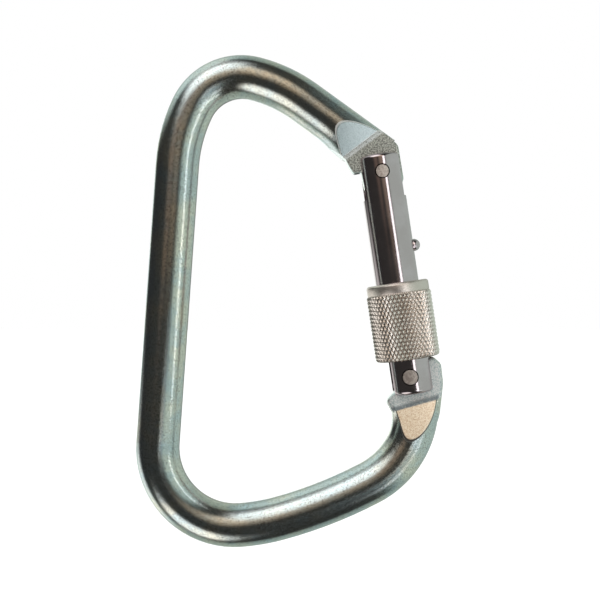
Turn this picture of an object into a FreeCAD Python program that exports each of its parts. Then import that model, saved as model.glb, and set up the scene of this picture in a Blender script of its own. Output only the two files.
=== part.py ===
"""Locking carabiner: a bent steel frame, a sprung gate and a screw sleeve. Millimetres, +Z up.

The frame stands upright in the XZ plane with the gate on the +X side, and Y is its thickness.
The origin is the inside of the upper bend, where the anchor bears.
"""
import FreeCAD, Part
import os
from math import atan2, cos, pi, radians, sin, tan

V = FreeCAD.Vector
Y_AXIS = V(0, 1, 0)

# Frame: round bar bent to a D. Each bend is (radius, turn in degrees), to the left of the way
# from the hinge end round to the latch end; both negative turns it to the right.
BAR_R = 6.0
BAR_START = (28.6, -8.3)
BAR_START_HEADING = 144.1
HINGE_END_RUN = 13.4
UPPER_RUN = 13.1
UPPER_BENDS = [(40.9, 21.3), (15.2, 78.9), (43.3, 21.7)]
SPINE_RUN = 77.3
LOWER_BENDS = [(21.4, 98.4), (58.2, 10.8), (123.9, 12.4), (24.6, 34.4)]
LATCH_END_BEND = (24.6, 33.4)

# Swelling on the inner side before each tang: a second length of bar that bends away
HINGE_SWELLING_BACK = 5.0
HINGE_SWELLING_BEND = (-28.0, -27.0)
HINGE_FLANK = 6.5
LATCH_SWELLING_BEND = (17.0, 42.0)
LATCH_SWELLING_RUN = 2.5

# Gate axis: it starts at the hinge rivet and leans outward on its way down.
RIVET_AT = (39.1, -20.4)
GATE_TILT = 8.4

# Flat tang at each end of the bar, and the ramp that leads down to it on both faces
TANG_HALF = 2.65
RAMP_SLOPE = 18.0
SCOOP_WIDTH = 1.3
TANG_EDGE = 0.9
HINGE_RAMP = dict(at=(33.2, -12.84), along=37.0, half=3.6, toward_gate=-1)
LATCH_RAMP = dict(at=(48.1, -83.55), along=15.6, half=3.0, toward_gate=1)
RAMP_REACH = 14.0
RAMP_RIM = 0.25

# Gate barrel, with distances measured down its axis from the rivet
GATE_R = 6.0
GATE_TOP = -5.0
GATE_END = 61.5
GATE_EDGE = 1.1
SLOT_HALF = 2.85
HINGE_SLOT_END = 7.1
LATCH_SLOT_START = 51.2
BORE_R = 3.2
BORE_END = 40.0

# Pins
RIVET_R = 1.73
RIVET_RING_R = 2.0
RIVET_RING_DEPTH = 0.25
TANG_HOLE_R = 1.80
LATCH_PIN_R = 2.0
LATCH_PIN_DOWN = 56.7
LATCH_PIN_OFF = -0.7
NOTCH_R = 2.35
HOOK_EDGE = 1.2
HOOK_TIP = 52.75
STOP_R = 1.7
STOP_DOWN = 21.0
STOP_SEAT = 4.4
STOP_CREST = 7.9

# Sleeve
SLEEVE_TOP = 30.75
SLEEVE_END = 51.9
COLLAR_R = 8.6
COLLAR_LENGTH = 2.9
KNURL_R = 8.95
COLLAR_EDGE = 0.8
KNURL_EDGE = 0.9
LIP_R = 6.12
LIP_LENGTH = 2.4
SLEEVE_BORE_R = 6.95
RECESS_R = 7.6
RECESS_DEPTH = 2.0

# Screw thread: a ridge on the gate and a ridge inside the sleeve
PITCH = 2.6
GATE_THREAD = (37.6, 50.6)
GATE_THREAD_ROOT = (5.8, 1.40)
GATE_THREAD_CREST = (6.62, 0.70)
SLEEVE_THREAD = (43.6, 49.3)
SLEEVE_THREAD_CREST = (6.20, 0.70)
SLEEVE_THREAD_ROOT = (7.1, 1.20)

# Spring and plunger
PLUNGER_TIP_R = 2.3
PLUNGER_HEAD_R = 3.0
PLUNGER_TIP = 4.7
PLUNGER_SHOULDER = 8.9
PLUNGER_END = 11.4
SPRING_WIRE_R = 0.45
SPRING_COIL_R = 2.4
SPRING_TURNS = 11
SPRING_ROOM = 0.1


def to_gate(shape):
    """Takes a shape made about the Z axis, rivet at the origin, to the gate's place."""
    shape.rotate(V(0, 0, 0), Y_AXIS, -GATE_TILT)
    shape.translate(V(RIVET_AT[0], 0, RIVET_AT[1]))
    return shape


def down(distance, off=0.0, y=0.0):
    """A point a distance down the gate's axis, off to the outside of the frame."""
    return V(off, y, -distance)


def box(x0, x1, y0, y1, z0, z1):
    return Part.makeBox(x1 - x0, y1 - y0, z1 - z0, V(x0, y0, z0))


def rod(radius, start, end):
    return Part.makeCylinder(radius, (end - start).Length, start, end - start)


def rounded_wire(corners):
    """A closed wire through (x, z, radius) corners in the XZ plane."""
    cuts = []
    count = len(corners)
    for i, (x, z, r) in enumerate(corners):
        here = V(x, 0, z)
        before = V(corners[i - 1][0], 0, corners[i - 1][1]) - here
        after = V(corners[(i + 1) % count][0], 0, corners[(i + 1) % count][1]) - here
        before.normalize()
        after.normalize()
        half = before.getAngle(after) / 2
        reach = r / tan(half)
        middle = before + after
        middle.normalize()
        rise = r / sin(half) - r
        cuts.append((here + before * reach, here + middle * rise, here + after * reach))
    edges = []
    for i, (enter, crown, leave) in enumerate(cuts):
        edges.append(Part.Arc(enter, crown, leave).toShape())
        edges.append(Part.LineSegment(leave, cuts[(i + 1) % count][0]).toShape())
    return Part.Wire(edges)


def plate(corners, half):
    """A flat plate with rounded corners, as thick as twice half, about the XZ plane."""
    face = Part.Face(rounded_wire(corners))
    face.translate(V(0, -half, 0))
    return face.extrude(V(0, 2 * half, 0))


def bar_pieces(x, z, heading, steps):
    """Lengths of round bar, step by step from a point, and where the last one ends."""
    pieces = []
    for kind, size, turn in steps:
        forward = V(cos(heading), 0, sin(heading))
        circle = Part.makeCircle(BAR_R, V(x, 0, z), forward)
        disc = Part.Face(Part.Wire([circle]))
        if kind == "run":
            pieces.append(disc.extrude(forward * size))
            x += size * cos(heading)
            z += size * sin(heading)
        else:
            centre_x = x - size * sin(heading)
            centre_z = z + size * cos(heading)
            pieces.append(disc.revolve(V(centre_x, 0, centre_z), V(0, -1, 0), turn))
            heading += radians(turn)
            x = centre_x + size * sin(heading)
            z = centre_z - size * cos(heading)
    return pieces, x, z, heading


def bent_bar():
    """The round bar from the hinge end to the latch end, with the swelling before each tang."""
    heading = radians(BAR_START_HEADING)
    x = BAR_START[0] - HINGE_END_RUN * cos(heading)
    z = BAR_START[1] - HINGE_END_RUN * sin(heading)
    steps = [("run", UPPER_RUN + HINGE_END_RUN, 0)]
    steps += [("bend", r, turn) for r, turn in UPPER_BENDS]
    steps += [("run", SPINE_RUN, 0)]
    steps += [("bend", r, turn) for r, turn in LOWER_BENDS]
    pieces, x, z, heading = bar_pieces(x, z, heading, steps)
    pieces += bar_pieces(x, z, heading, [("bend", *LATCH_END_BEND)])[0]
    swell = [("bend", *LATCH_SWELLING_BEND), ("run", LATCH_SWELLING_RUN, 0)]
    pieces += bar_pieces(x, z, heading, swell)[0]
    pieces.append(hinge_swelling())
    bar = pieces[0].multiFuse(pieces[1:])
    return bar.removeSplitter()


def hinge_swelling():
    """The swelling at the hinge end, planed along its inner flank."""
    heading = radians(BAR_START_HEADING)
    x = BAR_START[0] + HINGE_SWELLING_BACK * cos(heading)
    z = BAR_START[1] + HINGE_SWELLING_BACK * sin(heading)
    swell = bar_pieces(x, z, heading - pi, [("bend", *HINGE_SWELLING_BEND)])[0][0]
    slab = box(-20, 20, -20, 20, -HINGE_FLANK, 20)
    slab.rotate(V(0, 0, 0), Y_AXIS, 180 - BAR_START_HEADING)
    slab.translate(V(BAR_START[0], 0, BAR_START[1]))
    return swell.common(slab)


def ramp_cut(at, along, half, toward_gate, side):
    """What is removed above one face of a bar end: a ramp, a scoop and the tang's flat."""
    crest = BAR_R + 2.0
    ramp_length = (crest - half) / tan(radians(RAMP_SLOPE))
    start = V(-ramp_length, 0, crest)
    edge = V(0, 0, half)
    foot = V(SCOOP_WIDTH, 0, TANG_HALF)
    belly = V(0.35 * SCOOP_WIDTH, 0, TANG_HALF + 0.3 * (half - TANG_HALF))
    far = V(RAMP_REACH, 0, TANG_HALF)
    top = V(RAMP_REACH, 0, crest)
    outline = [
        Part.LineSegment(start, edge).toShape(),
        Part.Arc(edge, belly, foot).toShape(),
        Part.LineSegment(foot, far).toShape(),
        Part.LineSegment(far, top).toShape(),
        Part.LineSegment(top, start).toShape(),
    ]
    cutter = Part.Face(Part.Wire(outline)).extrude(V(0, 2 * RAMP_REACH, 0))
    cutter.translate(V(0, -RAMP_REACH, 0))
    line = radians(along)
    # local X runs from the ramp's top to the gate, local Z outward from the mid-plane
    run = V(-sin(line), 0, cos(line)) * toward_gate
    out = V(0, side, 0)
    across = out.cross(run)
    matrix = FreeCAD.Matrix(
        run.x, across.x, out.x, at[0],
        run.y, across.y, out.y, 0,
        run.z, across.z, out.z, at[1],
        0, 0, 0, 1,
    )
    cutter.transformShape(matrix)
    return cutter


def hinge_tang():
    corners = [
        (5.7, 7.5, 2.8),
        (5.9, -4.6, 2.6),
        (-5.1, -4.6, 1.3),
        (-5.5, 0.9, 0.5),
        (-7.6, 0.8, 1.0),
        (-8.6, 3.0, 1.5),
        (-9.6, 6.2, 2.0),
        (-6.0, 14.0, 3.0),
    ]
    tang = plate(corners, TANG_HALF)
    rims = [e for e in tang.Edges if e.BoundBox.YLength < 0.01]
    tang = tang.makeFillet(TANG_EDGE, rims)
    hole = rod(TANG_HOLE_R, V(0, -BAR_R, 0), V(0, BAR_R, 0))
    return tang.cut(hole)


def latch_tang():
    """The hook: it rises beside the latch pin and closes over it, open to the inside."""
    pin = down(LATCH_PIN_DOWN, LATCH_PIN_OFF)
    corners = [
        (2.0, -76.0, 1.6),
        (6.1, -69.0, 14.0),
        (8.45, -60.0, 9.0),
        (8.65, -54.6, 2.0),
        (6.8, -HOOK_TIP + 0.42, 1.4),
        (1.5, -HOOK_TIP, 5.0),
        (-3.4, -HOOK_TIP, 1.5),
        (-4.9, pin.z - NOTCH_R - 1.3, 1.3),
        (-8.0, -62.5, 1.7),
        (-6.0, -67.6, 4.0),
        (-6.0, -72.0, 1.6),
        (-4.0, -76.0, 1.6),
    ]
    hook = plate(corners, TANG_HALF)
    rims = [e for e in hook.Edges if e.BoundBox.YLength < 0.01]
    hook = hook.makeFillet(HOOK_EDGE, rims)
    notch = rod(NOTCH_R, pin + V(0, -BAR_R, 0), pin + V(0, BAR_R, 0))
    mouth = box(-12, pin.x, -BAR_R, BAR_R, pin.z - NOTCH_R, pin.z + NOTCH_R)
    return hook.cut(notch).cut(mouth)


def round_ramp_rim(body, spec, side):
    """Breaks the curved edge where one ramp runs out into the round bar."""
    line = radians(spec["along"])
    run = V(-sin(line), 0, cos(line)) * spec["toward_gate"]
    normal = run * sin(radians(RAMP_SLOPE)) + V(0, side, 0) * cos(radians(RAMP_SLOPE))
    flats = [f for f in body.Faces if f.Surface.TypeId == "Part::GeomPlane"]
    facet = [f for f in flats if abs(f.normalAt(0, 0).dot(normal)) > 1 - 1e-6][0]
    rim = [e for e in facet.Edges if e.Curve.TypeId != "Part::GeomLine"]
    return body.makeFillet(RAMP_RIM, rim)


def frame_body():
    bar = bent_bar()
    for side in (1, -1):
        bar = bar.cut(ramp_cut(side=side, **HINGE_RAMP))
        bar = bar.cut(ramp_cut(side=side, **LATCH_RAMP))
    # the end of the bar stays off the rivet
    bar = bar.cut(to_gate(rod(TANG_HOLE_R, V(0, -BAR_R, 0), V(0, BAR_R, 0))))
    body = bar.fuse([to_gate(hinge_tang()), to_gate(latch_tang())]).removeSplitter()
    for spec in (HINGE_RAMP, LATCH_RAMP):
        for side in (1, -1):
            body = round_ramp_rim(body, spec, side)
    return body


def thread(root, crest, span):
    """A helical ridge about Z; its root and its crest are each (radius, width)."""
    length = span[1] - span[0]
    helix = Part.makeHelix(PITCH, length, root[0])
    helix.translate(down(span[1]))
    z = -span[1]
    points = [
        V(root[0], 0, z - root[1] / 2),
        V(crest[0], 0, z - crest[1] / 2),
        V(crest[0], 0, z + crest[1] / 2),
        V(root[0], 0, z + root[1] / 2),
    ]
    profile = Part.makePolygon(points + [points[0]])
    return Part.Wire(helix).makePipeShell([profile], True, True)


def through_hole(radius, distance, off):
    return rod(radius, down(distance, off, -GATE_R - 1), down(distance, off, GATE_R + 1))


def gate_barrel():
    barrel = rod(GATE_R, down(GATE_TOP), down(GATE_END))
    rims = [e for e in barrel.Edges if abs(e.Length - 2 * pi * GATE_R) < 0.01]
    barrel = barrel.makeFillet(GATE_EDGE, rims)
    barrel = barrel.fuse(thread(GATE_THREAD_ROOT, GATE_THREAD_CREST, GATE_THREAD))
    wide = GATE_R + 1
    cuts = [
        box(-wide, wide, -SLOT_HALF, SLOT_HALF, -HINGE_SLOT_END, 10),
        box(-wide, wide, -SLOT_HALF, SLOT_HALF, -GATE_END - 5, -LATCH_SLOT_START),
        rod(BORE_R, down(HINGE_SLOT_END - 1), down(BORE_END)),
        through_hole(RIVET_R, 0, 0),
        rod(RIVET_RING_R, down(0, 0, GATE_R - RIVET_RING_DEPTH), down(0, 0, wide)),
        rod(RIVET_RING_R, down(0, 0, -wide), down(0, 0, RIVET_RING_DEPTH - GATE_R)),
        through_hole(LATCH_PIN_R, LATCH_PIN_DOWN, LATCH_PIN_OFF),
        rod(STOP_R, down(STOP_DOWN, STOP_SEAT), down(STOP_DOWN, wide + 1)),
    ]
    return barrel.cut(cuts)


def flush_pin(radius, distance, off):
    """A cross pin ground flush with the barrel's round surface."""
    pin = through_hole(radius, distance, off)
    return pin.common(rod(GATE_R, down(distance - 5), down(distance + 5)))


def sleeve_stop():
    """A pin with a domed head: the dome is the part of a ball that stands out of the barrel."""
    shank = rod(STOP_R, down(STOP_DOWN, STOP_SEAT), down(STOP_DOWN, STOP_CREST - STOP_R))
    dome = Part.makeSphere(STOP_R, down(STOP_DOWN, STOP_CREST - STOP_R))
    return shank.fuse(dome).removeSplitter()


def rims_at(shape, distance):
    """The round edges that lie square to the axis, a distance down it."""
    flat = [e for e in shape.Edges if e.BoundBox.ZLength < 0.01]
    return [e for e in flat if abs(e.BoundBox.ZMin + distance) < 0.01]


def locking_sleeve():
    body = rod(KNURL_R, down(SLEEVE_TOP + COLLAR_LENGTH), down(SLEEVE_END))
    collar = rod(COLLAR_R, down(SLEEVE_TOP), down(SLEEVE_TOP + COLLAR_LENGTH + 1))
    sleeve = body.fuse(collar)
    sleeve = sleeve.makeFillet(COLLAR_EDGE, rims_at(sleeve, SLEEVE_TOP))
    sleeve = sleeve.makeFillet(KNURL_EDGE, rims_at(sleeve, SLEEVE_END))
    sleeve = sleeve.cut([
        rod(LIP_R, down(SLEEVE_TOP - 1), down(SLEEVE_END)),
        rod(SLEEVE_BORE_R, down(SLEEVE_TOP + LIP_LENGTH), down(SLEEVE_END + 1)),
        rod(RECESS_R, down(SLEEVE_END - RECESS_DEPTH), down(SLEEVE_END + 1)),
    ])
    return sleeve.fuse(thread(SLEEVE_THREAD_ROOT, SLEEVE_THREAD_CREST, SLEEVE_THREAD))


def spring_plunger():
    tip = rod(PLUNGER_TIP_R, down(PLUNGER_TIP), down(PLUNGER_END))
    head = rod(PLUNGER_HEAD_R, down(PLUNGER_SHOULDER), down(PLUNGER_END))
    return tip.fuse(head).removeSplitter()


def gate_spring():
    upper = PLUNGER_END + SPRING_ROOM + SPRING_WIRE_R
    lower = BORE_END - SPRING_ROOM - SPRING_WIRE_R
    height = lower - upper
    helix = Part.makeHelix(height / SPRING_TURNS, height, SPRING_COIL_R)
    helix.translate(down(lower))
    lean = atan2(height / SPRING_TURNS, 2 * pi * SPRING_COIL_R)
    circle = Part.makeCircle(SPRING_WIRE_R, down(lower, SPRING_COIL_R), V(0, cos(lean), sin(lean)))
    return Part.Wire(helix).makePipeShell([Part.Wire([circle])], True, True)


os.makedirs("parts", exist_ok=True)
nodes = {
    "frame_body": frame_body(),
    "gate_barrel": to_gate(gate_barrel()),
    "hinge_rivet": to_gate(flush_pin(RIVET_R, 0, 0)),
    "latch_pin": to_gate(flush_pin(LATCH_PIN_R, LATCH_PIN_DOWN, LATCH_PIN_OFF)),
    "sleeve_stop": to_gate(sleeve_stop()),
    "locking_sleeve": to_gate(locking_sleeve()),
    "spring_plunger": to_gate(spring_plunger()),
    "gate_spring": to_gate(gate_spring()),
}
for name, shape in nodes.items():
    if shape.ShapeType == "Compound" and len(shape.Solids) == 1:
        shape = shape.Solids[0]
    print(name, shape.ShapeType, "valid", shape.isValid(), "volume", round(shape.Volume, 1))
    shape.exportStep("parts/" + name + ".step")
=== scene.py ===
"""The look of the locking carabiner: plated frame, polished gate, knurled sleeve, and a studio."""
import bpy
from math import cos, pi, radians, sin, tan
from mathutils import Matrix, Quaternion, Vector


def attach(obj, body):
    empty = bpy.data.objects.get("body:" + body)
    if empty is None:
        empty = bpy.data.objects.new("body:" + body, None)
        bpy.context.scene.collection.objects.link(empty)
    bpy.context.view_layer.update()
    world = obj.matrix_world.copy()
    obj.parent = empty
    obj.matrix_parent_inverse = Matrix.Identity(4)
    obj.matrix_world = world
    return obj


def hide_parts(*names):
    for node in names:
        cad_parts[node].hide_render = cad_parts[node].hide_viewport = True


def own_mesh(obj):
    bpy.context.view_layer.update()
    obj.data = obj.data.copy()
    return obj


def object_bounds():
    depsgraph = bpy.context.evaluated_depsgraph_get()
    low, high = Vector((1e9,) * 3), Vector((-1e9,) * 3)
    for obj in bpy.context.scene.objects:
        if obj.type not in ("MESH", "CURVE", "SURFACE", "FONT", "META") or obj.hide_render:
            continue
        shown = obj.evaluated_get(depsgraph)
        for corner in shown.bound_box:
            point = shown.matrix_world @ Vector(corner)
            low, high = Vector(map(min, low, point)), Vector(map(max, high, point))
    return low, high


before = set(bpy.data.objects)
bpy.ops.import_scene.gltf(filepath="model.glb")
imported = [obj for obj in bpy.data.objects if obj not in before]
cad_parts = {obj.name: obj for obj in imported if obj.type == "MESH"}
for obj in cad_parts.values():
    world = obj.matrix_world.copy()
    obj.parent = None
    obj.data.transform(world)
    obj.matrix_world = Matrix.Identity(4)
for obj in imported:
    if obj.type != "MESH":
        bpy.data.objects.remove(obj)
CAD_BOX = [list(corner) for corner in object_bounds()]
MM = 0.001
MICRON = 0.000001

# Gate axis, from the hinge rivet down to the latch. Sizes of the object are in millimetres, and
# places down the axis are measured from the rivet.
RIVET = Vector((39.1, 0, -20.4))
GATE_TILT = radians(8.4)
GATE_DOWN = Vector((sin(GATE_TILT), 0, -cos(GATE_TILT)))
GATE_OUT = Vector((cos(GATE_TILT), 0, sin(GATE_TILT)))
ACROSS = Vector((0, 1, 0))
LATCH_PIN_DOWN = 56.7
LATCH_PIN_INWARD = 0.7

# Sleeve: places down the gate's axis, radii and rounded edges
SLEEVE_TOP = 30.75
SLEEVE_END = 51.9
COLLAR_R = 8.6
COLLAR_LENGTH = 2.9
COLLAR_EDGE = 0.8
END_EDGE = 0.9
LIP_R = 6.12
LIP_LENGTH = 2.4
LIP_EDGE = 0.25
BORE_R = 6.95
RECESS_R = 7.6
RECESS_DEPTH = 2.0
RECESS_EDGE = 0.15
STEPS_AROUND = 576
COLLAR_STEPS = 8
END_STEPS = 10

# Bevel under the collar: where it starts and ends above the knurl, and how deep it goes
BEVEL_START = 0.25
BEVEL_END = 0.08
BEVEL_DEPTH = 0.12

# Diamond knurl: the number of grooves round it and their spacing down it, the share of a sharp
# crest that its flattened one keeps, how it fades in at the top, and how far under the tips the
# painted highlight on the crests is full
KNURL_TOP = SLEEVE_TOP + COLLAR_LENGTH
KNURL_R = 8.95
KNURL_DEPTH = 0.42
KNURL_AROUND = 48
KNURL_PITCH = 2.15
KNURL_CREST = 0.82
KNURL_FADE_LENGTH = 0.25
KNURL_FADE_START = 0.15
KNURL_HIGHLIGHT_DEPTH = 0.08
KNURL_STEPS = 150

# Thread inside the sleeve: where it lies down the axis, and its section
THREAD_PITCH = 2.6
THREAD_SPAN = (43.6, 49.3)
THREAD_CREST_R = 6.2
THREAD_HALF_CREST = 0.35
THREAD_FLANK = 0.25
THREAD_FADE = 0.4
THREAD_MARGIN = 0.2
THREAD_STEPS = 59

# Spring inside the gate: the ends of its wire's centre line down the gate's axis, and its coils
SPRING_SPAN = (11.95, 39.45)
SPRING_COIL_R = 2.4
SPRING_WIRE_R = 0.45
SPRING_TURNS = 13
SPRING_END_PITCH = 0.92
SPRING_STEPS = 36
WIRE_SIDES = 14

# Ramps at the frame's ends: a point of the edge line and its direction, the half thickness there,
# the side the gate is on, how far past the line the bare ramp ends (before it where negative), and
# the x that the line between ramp and band reaches. Then the colours of the ramp, its rim, the
# blasted band beyond it and that line. The ramp's and band's tones differ between the ends as a
# painted reflection; the rim and line are a painted highlight at the hinge end and painted shade
# at the latch end.
RAMP_SLOPE = radians(18.0)
RAMPS = [
    dict(
        at=(33.2, -12.84),
        along=radians(37.0),
        half=3.6,
        toward_gate=-1,
        end=0.0,
        line_reach=60.0,
        # blue grey ramp and dark mottled band: a painted reflection of what this end faces, on the
        # same finish as the other end
        ramp=((0.37, 0.42, 0.43, 1), (0.46, 0.51, 0.52, 1)),
        # white rim: a painted highlight along the ramp's rounded edge
        rim=(0.95, 0.97, 0.97, 1),
        band=((0.20, 0.20, 0.18, 1), (0.80, 0.81, 0.75, 1)),
        # white line: a painted highlight along the border between ramp and band
        line=(1.0, 1.0, 1.0, 1),
    ),
    dict(
        at=(48.1, -83.55),
        along=radians(15.6),
        half=3.0,
        toward_gate=1,
        end=-0.9,
        line_reach=54.8,
        # warm tan ramp and pale blue band: a painted reflection of what this end faces, on the same
        # finish as the other end
        ramp=((0.72, 0.60, 0.46, 1), (0.93, 0.86, 0.74, 1)),
        # dark rim: painted shade along the ramp's rounded edge
        rim=(0.10, 0.09, 0.08, 1),
        band=((0.55, 0.64, 0.66, 1), (1.0, 1.0, 1.0, 1)),
        # dark line: painted shadow under the gate's end, along the border between ramp and band
        line=(0.20, 0.24, 0.27, 1),
    ),
]

# Limits of what is on a ramp. In each pair it is gone at the first and full at the second. The
# ramp's, the band's and the line's are distances past the end of the bare ramp.
RAMP_START = (-11, -10)
RAMP_BLUR = 0.1
BAND_START = (-0.25, 0.15)
BAND_END = (14, 12)
LINE_START = (-0.45, 0.15)
LINE_END = (1.5, 0.6)
# how far the end of the bare ramp wanders, as a share of its distance from the edge line
RAGGED = 1.2
# the rim's are depths under the ramp's plane
RIM_START = 0.03
RIM_END = (0.26, 0.18)
# the tang's side and the band's top edge are half thicknesses of the frame
TANG_SIDE = (1.9, 2.4)
BAND_TOP_BLUR = 0.15
# all of it is at a larger x than this, and the line fades out round the x that it reaches
NEAR_GATE_X = 22
LINE_BLUR = 0.3

# Joints round the cross pins: centre, and the inner and outer radius of the dark line, which is
# blurred by a little on each side. The pins carry painted shade at the latch, below a height.
LATCH_PIN = RIVET + GATE_DOWN * LATCH_PIN_DOWN - GATE_OUT * LATCH_PIN_INWARD
PIN_JOINTS = [
    ((RIVET.x, RIVET.z), 1.73, 2.0),
    ((LATCH_PIN.x, LATCH_PIN.z), 2.0, 2.25),
]
JOINT_BLUR_IN = 0.05
JOINT_BLUR_OUT = 0.06
PIN_PAINTED_SHADE_START_Z = -50
PIN_PAINTED_SHADE_FULL_Z = -60

# Colours of the metals, in pairs where they vary
PLATE = (0.61, 0.68, 0.69, 1), (0.78, 0.77, 0.68, 1)
PLATE_BLUE = (0.54, 0.68, 0.75, 1)
PLATE_SPECKLE = (0.24, 0.23, 0.22, 1)
GATE = (0.60, 0.52, 0.54, 1), (0.67, 0.59, 0.62, 1)
JOINT_DIRT = (0.03, 0.028, 0.026, 1)
NICKEL = (0.90, 0.79, 0.70, 1), (0.96, 0.88, 0.82, 1)
# painted shade for the knurl's grooves and a painted highlight for its crests
NICKEL_GROOVE_SHADE = (0.26, 0.20, 0.16, 1)
NICKEL_CREST_HIGHLIGHT = (0.98, 0.92, 0.87, 1)
COLLAR = (0.76, 0.67, 0.62, 1), (0.84, 0.76, 0.71, 1)
PIN = (0.58, 0.48, 0.44, 1), (0.86, 0.76, 0.70, 1)
# painted shade for the pins at the latch, just under the sleeve
PIN_PAINTED_SHADE = (0.10, 0.08, 0.075, 1)
WIRE = (0.45, 0.45, 0.47, 1), (0.62, 0.62, 0.63, 1)

# Camera: what it sees and its distance, in metres, and its sensor's width, in millimetres
VIEW_CENTRE = (0.01667, -0.05556)
VIEW_WIDTH = 1 / 6
CAMERA_DISTANCE = 0.278
SENSOR = 36.0

# Studio, in metres: what the lights aim at, and the floor. The room's colours are those on the
# camera's side, to the sides and behind the object.
LIT_POINT = (0.0167, 0, -0.0556)
FLOOR_GAP = 0.03
FLOOR_HALF = 3.0
ROOM_FRONT = (0.040, 0.040, 0.037, 1)
ROOM_SIDES = (0.36, 0.43, 0.39, 1)
ROOM_BACK = (0.50, 0.58, 0.53, 1)
ROOM_WOBBLE = 0.16


# ---------------------------------------------------------------- node helpers

def node(tree, kind, inputs=None, **settings):
    """Adds a node, sets its properties, and fills or links its inputs by name or number."""
    new = tree.nodes.new(kind)
    for key, value in settings.items():
        setattr(new, key, value)
    for key, value in (inputs or {}).items():
        fill(tree, new.inputs[key], value)
    return new


def fill(tree, socket, value):
    """Links a socket to another socket's value, or sets it to a plain one."""
    if isinstance(value, bpy.types.NodeSocket):
        tree.links.new(value, socket)
    else:
        socket.default_value = value


def math(tree, operation, *values):
    """One calculation on numbers or sockets."""
    inputs = dict(enumerate(values))
    return node(tree, "ShaderNodeMath", inputs, operation=operation).outputs[0]


def ramp(tree, value, low, high, to_low=0.0, to_high=1.0):
    """Takes a value smoothly from one limit to another while it goes from low to high."""
    inputs = {0: value, 1: low, 2: high, 3: to_low, 4: to_high}
    kind = "SMOOTHSTEP"
    return node(tree, "ShaderNodeMapRange", inputs, interpolation_type=kind, clamp=True).outputs[0]


def contrast(tree, value):
    """Spreads the middle of a noise over 0 to 1."""
    return ramp(tree, value, 0.35, 0.65)


def roughness(tree, value, low, high):
    """A roughness between two limits that follows a noise."""
    return ramp(tree, value, 0.3, 0.7, low, high)


def mix(tree, factor, a, b):
    """Colour a where the factor is 0, and b where it is 1."""
    return node(tree, "ShaderNodeMix", {0: factor, 6: a, 7: b}, data_type="RGBA").outputs[2]


def noise(tree, coords, scale, detail=3.0, rough=0.55, stretch=(1, 1, 1)):
    """Noise with a number of cells in a metre, which are finer along an axis by its stretch."""
    mapped = node(tree, "ShaderNodeMapping", {"Vector": coords, "Scale": stretch}).outputs[0]
    inputs = {"Vector": mapped, "Scale": scale, "Detail": detail, "Roughness": rough}
    return node(tree, "ShaderNodeTexNoise", inputs).outputs[0]


def turned_rings(tree, coords, scale, fineness):
    """Fine rings round the gate's axis, as a lathe leaves them."""
    upright = {"Vector": coords, "Rotation": (0, -GATE_TILT, 0)}
    turned = node(tree, "ShaderNodeMapping", upright).outputs[0]
    return noise(tree, turned, scale, rough=0.6, stretch=(0.02, 0.02, fineness))


def split(tree, coords):
    """The x, y and z of a vector."""
    return node(tree, "ShaderNodeSeparateXYZ", {0: coords}).outputs


def hypotenuse(tree, a, b):
    """The length of a vector with the parts a and b."""
    squares = math(tree, "ADD", math(tree, "POWER", a, 2.0), math(tree, "POWER", b, 2.0))
    return math(tree, "SQRT", squares)


def material(name):
    """A new material, its node tree, its shader and the object's coordinates."""
    look = bpy.data.materials.new(name)
    look.use_nodes = True
    tree = look.node_tree
    shader = tree.nodes["Principled BSDF"]
    coords = node(tree, "ShaderNodeTexCoord").outputs["Object"]
    return look, tree, shader, coords


def finish_metal(tree, shader, color, rough, height, depth, metallic=1.0):
    """Links a metal's colour, roughness and a bump whose depth is in metres."""
    for name, value in (("Base Color", color), ("Roughness", rough), ("Metallic", metallic)):
        fill(tree, shader.inputs[name], value)
    bump = node(tree, "ShaderNodeBump", {"Strength": 1.0, "Distance": depth, "Height": height})
    tree.links.new(bump.outputs[0], shader.inputs["Normal"])


# ---------------------------------------------------------------- materials

def past_edge(tree, x, z, spec):
    """How far past a ramp's edge line a point lies, towards the gate, in millimetres."""
    run_x = -sin(spec["along"]) * spec["toward_gate"] / MM
    run_z = cos(spec["along"]) * spec["toward_gate"] / MM
    offset = -(spec["at"][0] * run_x + spec["at"][1] * run_z) * MM
    part = math(tree, "MULTIPLY_ADD", x, run_x, offset)
    return math(tree, "MULTIPLY_ADD", z, run_z, part)


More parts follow.
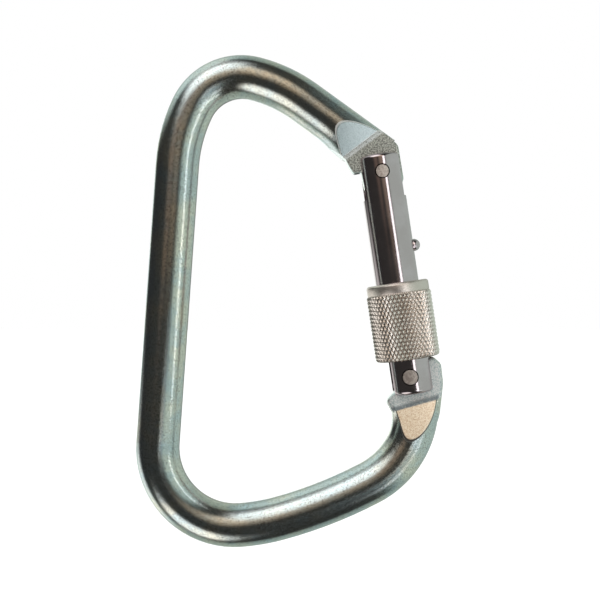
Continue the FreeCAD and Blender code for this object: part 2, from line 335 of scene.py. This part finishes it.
def ramp_masks(tree, coords, speckle, spec):
    """Where a ramp's bare plane, its rim, the blasted band beyond it and the line between lie. The rim
    and the line are where painted highlight and shade go.
    """
    x, y, z = split(tree, coords)
    past = past_edge(tree, x, z, spec)
    thick = math(tree, "MULTIPLY", math(tree, "ABSOLUTE", y), 1 / MM)
    surface = math(tree, "MULTIPLY_ADD", past, -tan(RAMP_SLOPE), spec["half"])
    under = math(tree, "SUBTRACT", surface, thick)
    near_gate = math(tree, "GREATER_THAN", x, NEAR_GATE_X * MM)

    # the bare ramp ends in a ragged line, and what follows is measured from there
    ragged = math(tree, "MULTIPLY_ADD", speckle, RAGGED * spec["end"], -RAGGED / 2 * spec["end"])
    past = math(tree, "SUBTRACT", past, math(tree, "ADD", ragged, spec["end"]))
    before = ramp(tree, past, RAMP_BLUR, -RAMP_BLUR)
    before = math(tree, "MULTIPLY", ramp(tree, past, *RAMP_START), before)
    before = math(tree, "MULTIPLY", before, near_gate)
    plane = math(tree, "MULTIPLY", math(tree, "LESS_THAN", under, RIM_START), before)
    rim = math(tree, "MULTIPLY", math(tree, "GREATER_THAN", under, RIM_START), before)
    rim = math(tree, "MULTIPLY", rim, ramp(tree, under, *RIM_END))

    high = spec["half"] - spec["end"] * tan(RAMP_SLOPE)
    flat = ramp(tree, thick, high + BAND_TOP_BLUR, high)
    flat = math(tree, "MULTIPLY", flat, ramp(tree, thick, *TANG_SIDE))
    flat = math(tree, "MULTIPLY", flat, near_gate)
    band = math(tree, "MULTIPLY", ramp(tree, past, *BAND_START), ramp(tree, past, *BAND_END))
    band = math(tree, "MULTIPLY", band, flat)

    reach = spec["line_reach"]
    reached = ramp(tree, x, (reach + LINE_BLUR) * MM, (reach - LINE_BLUR) * MM)
    line = math(tree, "MULTIPLY", ramp(tree, past, *LINE_START), ramp(tree, past, *LINE_END))
    line = math(tree, "MULTIPLY", line, reached)
    line = math(tree, "MULTIPLY", line, ramp(tree, speckle, 0.30, 0.55, 0.25, 0.95))
    line = math(tree, "MULTIPLY", line, flat)
    return plane, rim, band, line


def frame_material():
    """Bright zinc plate: satin on the bar, rougher on the ramps, blasted on the bands by the tangs.
    The ramps' and bands' tones per end are a painted reflection, and their rims and lines painted
    highlight and shade.
    """
    look, tree, shader, coords = material("plated_frame_look")
    cloud = noise(tree, coords, scale=90, detail=4)
    grain = noise(tree, coords, scale=5200, detail=2, rough=0.6)
    speckle = noise(tree, coords, scale=2600, detail=3, rough=0.7)
    tint = noise(tree, coords, scale=160, detail=3, rough=0.5)
    color = mix(tree, contrast(tree, cloud), *PLATE)
    color = mix(tree, ramp(tree, tint, 0.5, 0.72, to_high=0.50), color, PLATE_BLUE)
    color = mix(tree, ramp(tree, speckle, 0.48, 0.66, to_high=0.62), color, PLATE_SPECKLE)
    mottle = ramp(tree, speckle, 0.38, 0.60)
    facet = 0.0
    blasted = 0.0
    for spec in RAMPS:
        plane, rim, band, line = ramp_masks(tree, coords, speckle, spec)
        # the rim's colour is a painted highlight at the hinge end and painted shade at the latch end
        color = mix(tree, rim, color, spec["rim"])
        # the ramp's and band's tones per end are a painted reflection; their mottle is the finish's
        # own grain
        color = mix(tree, plane, color, mix(tree, mottle, *spec["ramp"]))
        color = mix(tree, band, color, mix(tree, mottle, *spec["band"]))
        # the border line's colour is a painted highlight at the hinge end and painted shadow under the
        # gate's end at the latch end
        color = mix(tree, line, color, spec["line"])
        facet = math(tree, "MAXIMUM", facet, plane)
        blasted = math(tree, "MAXIMUM", math(tree, "MAXIMUM", blasted, band), rim)
    rough = roughness(tree, grain, 0.15, 0.22)
    rough = math(tree, "ADD", rough, ramp(tree, facet, 0, 1, to_high=0.12))
    rough = math(tree, "ADD", rough, ramp(tree, blasted, 0, 1, to_high=0.28))
    fine = math(tree, "MULTIPLY", grain, ramp(tree, facet, 0, 1, 0.9, 1.0))
    pits = math(tree, "MULTIPLY", speckle, ramp(tree, blasted, 0, 1, 0.8, 3.0))
    height = math(tree, "ADD", fine, pits)
    metallic = ramp(tree, blasted, 0, 1, 1.0, 0.2)
    finish_metal(tree, shader, color, rough, height, 12 * MICRON, metallic)
    return look


def around(tree, coords, centre):
    """Distance in millimetres from a cross pin's axis, given by its (x, z) in millimetres."""
    x, _, z = split(tree, coords)
    across = math(tree, "MULTIPLY_ADD", x, 1 / MM, -centre[0])
    up = math(tree, "MULTIPLY_ADD", z, 1 / MM, -centre[1])
    return hypotenuse(tree, across, up)


def gate_material():
    """Turned and polished steel: fine rings round the axis, and dirt in the joints round the pins."""
    look, tree, shader, coords = material("polished_gate_look")
    rings = turned_rings(tree, coords, scale=600, fineness=14)
    smudge = noise(tree, coords, scale=140, detail=4)
    color = mix(tree, ramp(tree, smudge, 0.35, 0.7), *GATE)
    for centre, inner, outer in PIN_JOINTS:
        gap = around(tree, coords, centre)
        outside = ramp(tree, gap, inner - JOINT_BLUR_IN, inner)
        inside = ramp(tree, gap, outer + JOINT_BLUR_OUT, outer)
        ring = math(tree, "MULTIPLY", outside, inside)
        color = mix(tree, ring, color, JOINT_DIRT)
    finish_metal(tree, shader, color, roughness(tree, smudge, 0.11, 0.17), rings, 1.2 * MICRON)
    return look


def sleeve_material():
    """Nickel plate, a little warm, with a painted highlight on the crests and painted shade down in
    the grooves.
    """
    look, tree, shader, coords = material("sleeve_look")
    cloud = noise(tree, coords, scale=220, detail=4)
    grain = noise(tree, coords, scale=6000, detail=2, rough=0.6)
    # distance from the gate's axis, which separates crests from grooves
    x, y, z = split(tree, coords)
    side = math(tree, "MULTIPLY_ADD", x, cos(GATE_TILT), -RIVET.x * MM * cos(GATE_TILT))
    rise = math(tree, "MULTIPLY_ADD", z, sin(GATE_TILT), -RIVET.z * MM * sin(GATE_TILT))
    radius = hypotenuse(tree, math(tree, "ADD", side, rise), y)
    # crests lightened as a painted highlight, grooves darkened as painted shade
    crest_highlight = ramp(tree, radius, (KNURL_R - KNURL_DEPTH) * MM, (KNURL_R - KNURL_HIGHLIGHT_DEPTH) * MM)
    base = mix(tree, contrast(tree, cloud), *NICKEL)
    groove_shade = mix(tree, 0.5, base, NICKEL_GROOVE_SHADE)
    color = mix(tree, crest_highlight, groove_shade, mix(tree, 0.6, base, NICKEL_CREST_HIGHLIGHT))
    finish_metal(tree, shader, color, roughness(tree, grain, 0.26, 0.36), grain, 6 * MICRON)
    return look


def collar_material():
    """The sleeve's smooth collar and bore: fine turned nickel plate."""
    look, tree, shader, coords = material("collar_look")
    rings = turned_rings(tree, coords, scale=700, fineness=12)
    cloud = noise(tree, coords, scale=260, detail=4)
    color = mix(tree, contrast(tree, cloud), *COLLAR)
    finish_metal(tree, shader, color, roughness(tree, cloud, 0.40, 0.48), rings, 4 * MICRON)
    return look


def pin_material():
    """Ground pin ends: pinkish grey, with coarse grinding lines, and painted shade at the latch, just
    under the sleeve.
    """
    look, tree, shader, coords = material("pin_look")
    lines = noise(tree, coords, scale=1500, detail=4, rough=0.7, stretch=(1, 1, 0.25))
    spots = noise(tree, coords, scale=1800, detail=3, rough=0.6)
    color = mix(tree, contrast(tree, spots), *PIN)
    z = split(tree, coords)["Z"]
    # painted shade on the pins at the latch, just under the sleeve
    low = ramp(tree, z, PIN_PAINTED_SHADE_START_Z * MM, PIN_PAINTED_SHADE_FULL_Z * MM, to_high=0.3)
    color = mix(tree, low, color, PIN_PAINTED_SHADE)
    rough = roughness(tree, spots, 0.40, 0.55)
    finish_metal(tree, shader, color, rough, lines, 20 * MICRON, metallic=0.35)
    return look


def spring_material():
    """Bare drawn wire."""
    look, tree, shader, coords = material("spring_look")
    drawn = noise(tree, coords, scale=2500)
    color = mix(tree, drawn, *WIRE)
    finish_metal(tree, shader, color, roughness(tree, drawn, 0.2, 0.32), drawn, 4 * MICRON)
    return look


# ---------------------------------------------------------------- sleeve

def wave(t):
    """A triangle wave: 0 at whole numbers, 1 half way between."""
    return 1 - abs(2 * (t % 1.0) - 1)


def knurl_height(turn, down):
    """Diamond knurl, 0 in the grooves and up to 1 on the slightly flattened crests."""
    one = wave(KNURL_AROUND * turn + down / KNURL_PITCH)
    two = wave(KNURL_AROUND * turn - down / KNURL_PITCH)
    return min(one, two, KNURL_CREST) / KNURL_CREST


def thread_height(turn, down):
    """The sleeve's inner thread: 1 on the ridge and 0 beside it, right-handed."""
    top, end = THREAD_SPAN
    from_crest = ((down - end) / THREAD_PITCH + turn + 0.5) % 1.0 - 0.5
    flank = 1 - (abs(from_crest) * THREAD_PITCH - THREAD_HALF_CREST) / THREAD_FLANK
    ends = min(down - top, end - down) / THREAD_FADE + 0.5
    return max(0.0, min(1.0, flank, ends))


def sleeve_profile():
    """(down, radius, kind) round the section: the bore's top edge, the outside, and back up inside."""
    points = [(SLEEVE_TOP + LIP_EDGE, LIP_R, "plain"), (SLEEVE_TOP, LIP_R + LIP_EDGE, "plain")]
    for step in range(COLLAR_STEPS + 1):
        angle = pi / 2 * step / COLLAR_STEPS
        down = SLEEVE_TOP + COLLAR_EDGE * (1 - cos(angle))
        points.append((down, COLLAR_R - COLLAR_EDGE * (1 - sin(angle)), "plain"))
    points.append((KNURL_TOP - BEVEL_START, COLLAR_R, "plain"))
    points.append((KNURL_TOP - BEVEL_END, COLLAR_R - BEVEL_DEPTH, "plain"))

    last = SLEEVE_END - END_EDGE
    for step in range(KNURL_STEPS + 1):
        points.append((KNURL_TOP + (last - KNURL_TOP) * step / KNURL_STEPS, KNURL_R, "knurl"))
    for step in range(1, END_STEPS + 1):
        angle = pi / 2 * step / END_STEPS
        kind = "knurl" if step < END_STEPS - 1 else "plain"
        points.append((last + END_EDGE * sin(angle), KNURL_R - END_EDGE * (1 - cos(angle)), kind))

    recess_top = SLEEVE_END - RECESS_DEPTH
    points.append((SLEEVE_END, RECESS_R + RECESS_EDGE, "plain"))
    points.append((SLEEVE_END - RECESS_EDGE, RECESS_R, "plain"))
    points += [(recess_top, RECESS_R, "plain"), (recess_top, BORE_R, "plain")]
    top, end = THREAD_SPAN
    for step in range(THREAD_STEPS + 1):
        down = end + THREAD_MARGIN - (end - top + 2 * THREAD_MARGIN) * step / THREAD_STEPS
        points.append((down, BORE_R, "thread"))
    bore_top = SLEEVE_TOP + LIP_LENGTH
    points += [(bore_top, BORE_R, "plain"), (bore_top, LIP_R, "plain")]
    return points


def add_piece(name, verts, faces, *looks):
    """Makes a mesh with its materials and puts it in the scene."""
    mesh = bpy.data.meshes.new(name)
    mesh.from_pydata(verts, [], faces)
    for look in looks:
        mesh.materials.append(look)
    mesh.validate()
    piece = bpy.data.objects.new(name, mesh)
    bpy.context.scene.collection.objects.link(piece)
    return piece


def make_sleeve(knurl_look, collar_look):
    """The knurled sleeve: its section turned round the gate's axis."""
    profile = sleeve_profile()
    verts = []
    for step in range(STEPS_AROUND):
        turn = step / STEPS_AROUND
        radial = GATE_OUT * cos(2 * pi * turn) + ACROSS * sin(2 * pi * turn)
        for down, radius, kind in profile:
            if kind == "knurl":
                fade = min(1.0, (down - KNURL_TOP) / KNURL_FADE_LENGTH + KNURL_FADE_START)
                radius -= KNURL_DEPTH * (1 - knurl_height(turn, down) * fade)
            elif kind == "thread":
                radius -= (BORE_R - THREAD_CREST_R) * thread_height(turn, down)
            verts.append((RIVET + GATE_DOWN * down + radial * radius) * MM)
    count = len(profile)
    faces = []
    for step in range(STEPS_AROUND):
        here = step * count
        there = (step + 1) % STEPS_AROUND * count
        for i in range(count):
            j = (i + 1) % count
            faces.append((here + i, here + j, there + j, there + i))
    sleeve = add_piece("locking_sleeve_detail", verts, faces, knurl_look, collar_look)
    for number, face in enumerate(sleeve.data.polygons):
        i = number % count
        both_knurl = profile[i][2] == "knurl" and profile[(i + 1) % count][2] == "knurl"
        face.material_index = 0 if both_knurl else 1
        face.use_smooth = True
    sleeve.data.set_sharp_from_angle(angle=radians(40))
    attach(sleeve, "sleeve")
    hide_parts("locking_sleeve")


# ---------------------------------------------------------------- spring

def spring_height(turn):
    """How far down the wire lies after some turns: the first and last turns are closed."""
    start, end = SPRING_SPAN
    pitch = (end - start - 2 * SPRING_END_PITCH) / (SPRING_TURNS - 2)
    closed = min(turn, 1) + max(turn - SPRING_TURNS + 1, 0)
    return start + closed * SPRING_END_PITCH + (turn - closed) * pitch


def make_spring(look):
    """The gate spring: a coil of wire round the gate's axis, its first and last turns closed."""
    count = SPRING_TURNS * SPRING_STEPS + 1
    verts = []
    for step in range(count):
        turn = step / SPRING_STEPS
        radial = GATE_OUT * cos(2 * pi * turn) + ACROSS * sin(2 * pi * turn)
        middle = RIVET + GATE_DOWN * spring_height(turn) + radial * SPRING_COIL_R
        for i in range(WIRE_SIDES):
            angle = 2 * pi * i / WIRE_SIDES
            out = radial * cos(angle) + GATE_DOWN * sin(angle)
            verts.append((middle + out * SPRING_WIRE_R) * MM)
    faces = []
    for step in range(count - 1):
        here = step * WIRE_SIDES
        there = here + WIRE_SIDES
        for i in range(WIRE_SIDES):
            j = (i + 1) % WIRE_SIDES
            faces.append((here + i, here + j, there + j, there + i))
    faces.append(tuple(reversed(range(WIRE_SIDES))))
    faces.append(tuple(range((count - 1) * WIRE_SIDES, count * WIRE_SIDES)))
    spring = add_piece("gate_spring_coil", verts, faces, look)
    spring.data.shade_smooth()
    spring.data.set_sharp_from_angle(angle=radians(60))
    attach(spring, "spring")
    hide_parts("gate_spring")
    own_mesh(spring)


def dress(name, look):
    """Gives a carried-over CAD piece its material."""
    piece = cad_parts[name]
    piece.data.materials.clear()
    piece.data.materials.append(look)


# ---------------------------------------------------------------- studio

def area_light(name, at, size, power, color, target=LIT_POINT, roll=0.0):
    """A rectangular light that faces a point and isn't seen itself."""
    data = bpy.data.lights.new(name, "AREA")
    data.shape = "RECTANGLE"
    data.size, data.size_y = size
    data.energy = power
    data.color = color
    light = bpy.data.objects.new(name, data)
    light.location = at
    aim = (Vector(target) - Vector(at)).to_track_quat("-Z", "Y")
    light.rotation_euler = (aim @ Quaternion((0, 0, 1), roll)).to_euler()
    light.visible_camera = False
    bpy.context.scene.collection.objects.link(light)


def toward(angle, turn):
    """A direction at an angle from the camera's side, turned from +X towards +Z, in degrees."""
    a = radians(angle)
    b = radians(turn)
    return sin(a) * cos(b), -cos(a), sin(a) * sin(b)


# Patches of the room: direction, full within degrees, gone beyond degrees, colour
PATCHES = [
    (toward(180, 0), 12, 30, (0.05, 0.05, 0.05, 1)),
    (toward(82, 0), 45, 61, (0.52, 0.61, 0.56, 1)),
    (toward(108, 180), 22, 40, (0.035, 0.035, 0.035, 1)),
    (toward(164, 180), 10, 22, (1.25, 1.32, 1.27, 1)),
    (toward(122, -150), 10, 26, (1.15, 1.18, 1.12, 1)),
    (toward(112, 125), 8, 34, (0.82, 0.92, 0.86, 1)),
    (toward(30, 144), 7, 19, (0.24, 0.18, 0.14, 1)),
    (toward(20, 80), 6, 21, (0.36, 0.29, 0.22, 1)),
    (toward(33, 92), 9, 19, (0.78, 0.65, 0.51, 1)),
    (toward(55, 118), 13, 28, (1.45, 1.45, 1.40, 1)),
    (toward(66, -118), 12, 27, (1.45, 1.45, 1.40, 1)),
    (toward(31, -39), 6, 14, (0.46, 0.54, 0.55, 1)),
    (toward(20, -38), 1, 6, (1.2, 1.2, 1.15, 1)),
    (toward(50, -30), 3, 8, (1.35, 1.4, 1.4, 1)),
    (toward(50, -52), 3, 9, (1.2, 1.25, 1.25, 1)),
]


def make_world():
    """A pale room in fixed directions: white behind the object, dim and warm on the camera's side."""
    world = bpy.data.worlds.new("studio")
    bpy.context.scene.world = world
    world.use_nodes = True
    tree = world.node_tree
    tree.nodes.clear()
    direction = node(tree, "ShaderNodeTexCoord").outputs["Generated"]
    wobble = noise(tree, direction, scale=3.0, detail=2)
    wobble = math(tree, "MULTIPLY_ADD", wobble, ROOM_WOBBLE, -ROOM_WOBBLE / 2)
    depth = math(tree, "ADD", split(tree, direction)["Y"], wobble)
    color = mix(tree, ramp(tree, depth, 0.0, 0.22), ROOM_FRONT, ROOM_SIDES)
    color = mix(tree, ramp(tree, depth, 0.45, 0.85), color, ROOM_BACK)
    for aim, full, gone, patch in PATCHES:
        match = node(tree, "ShaderNodeVectorMath", {0: direction, 1: aim}, operation="DOT_PRODUCT")
        amount = ramp(tree, match.outputs["Value"], cos(radians(gone)), cos(radians(full)))
        color = mix(tree, amount, color, patch)
    reflected = node(tree, "ShaderNodeBackground", {"Color": color, "Strength": 1.0}).outputs[0]
    seen = node(tree, "ShaderNodeBackground", {"Color": (1, 1, 1, 1), "Strength": 1.0}).outputs[0]
    camera_ray = node(tree, "ShaderNodeLightPath").outputs["Is Camera Ray"]
    both = node(tree, "ShaderNodeMixShader", {0: camera_ray, 1: reflected, 2: seen}).outputs[0]
    node(tree, "ShaderNodeOutputWorld", {"Surface": both})


def make_floor():
    """A wide pale floor a little below the object, which hangs clear of it."""
    low = CAD_BOX[0][2] - FLOOR_GAP
    half = FLOOR_HALF
    look, _, shader, _ = material("floor_look")
    shader.inputs["Roughness"].default_value = 0.9
    shader.inputs["Base Color"].default_value = (0.5, 0.5, 0.5, 1)
    shader.inputs["Emission Color"].default_value = (1, 1, 1, 1)
    shader.inputs["Emission Strength"].default_value = 0.85
    corners = [(-half, -half, low), (half, -half, low), (half, half, low), (-half, half, low)]
    floor = add_piece("floor", corners, [(0, 1, 2, 3)], look)
    floor.visible_glossy = False
    floor.visible_diffuse = False


def make_camera():
    """A level camera, square to the frame's plane."""
    data = bpy.data.cameras.new("camera")
    data.sensor_width = SENSOR
    data.lens = SENSOR * CAMERA_DISTANCE / VIEW_WIDTH
    data.clip_start = 0.01
    camera = bpy.data.objects.new("camera", data)
    camera.location = (VIEW_CENTRE[0], -CAMERA_DISTANCE, VIEW_CENTRE[1])
    camera.rotation_euler = (pi / 2, 0, 0)
    bpy.context.scene.collection.objects.link(camera)
    bpy.context.scene.camera = camera


polished = gate_material()
pins = pin_material()
dress("frame_body", frame_material())
dress("gate_barrel", polished)
dress("sleeve_stop", polished)
dress("hinge_rivet", pins)
dress("latch_pin", pins)
dress("spring_plunger", pins)
make_spring(spring_material())
make_sleeve(sleeve_material(), collar_material())
make_world()
area_light("key", at=(-0.25, -0.20, 0.55), size=(0.5, 0.5), power=0.3, color=(1.0, 0.98, 0.95))
area_light(
    "strip", at=(0.0605, -0.046, -0.05), size=(0.008, 0.11), power=0.0062, color=(1, 1, 1),
    target=(0.044, 0, -0.05), roll=GATE_TILT,
)
make_floor()
make_camera()
bpy.context.scene.view_settings.view_transform = "Standard"
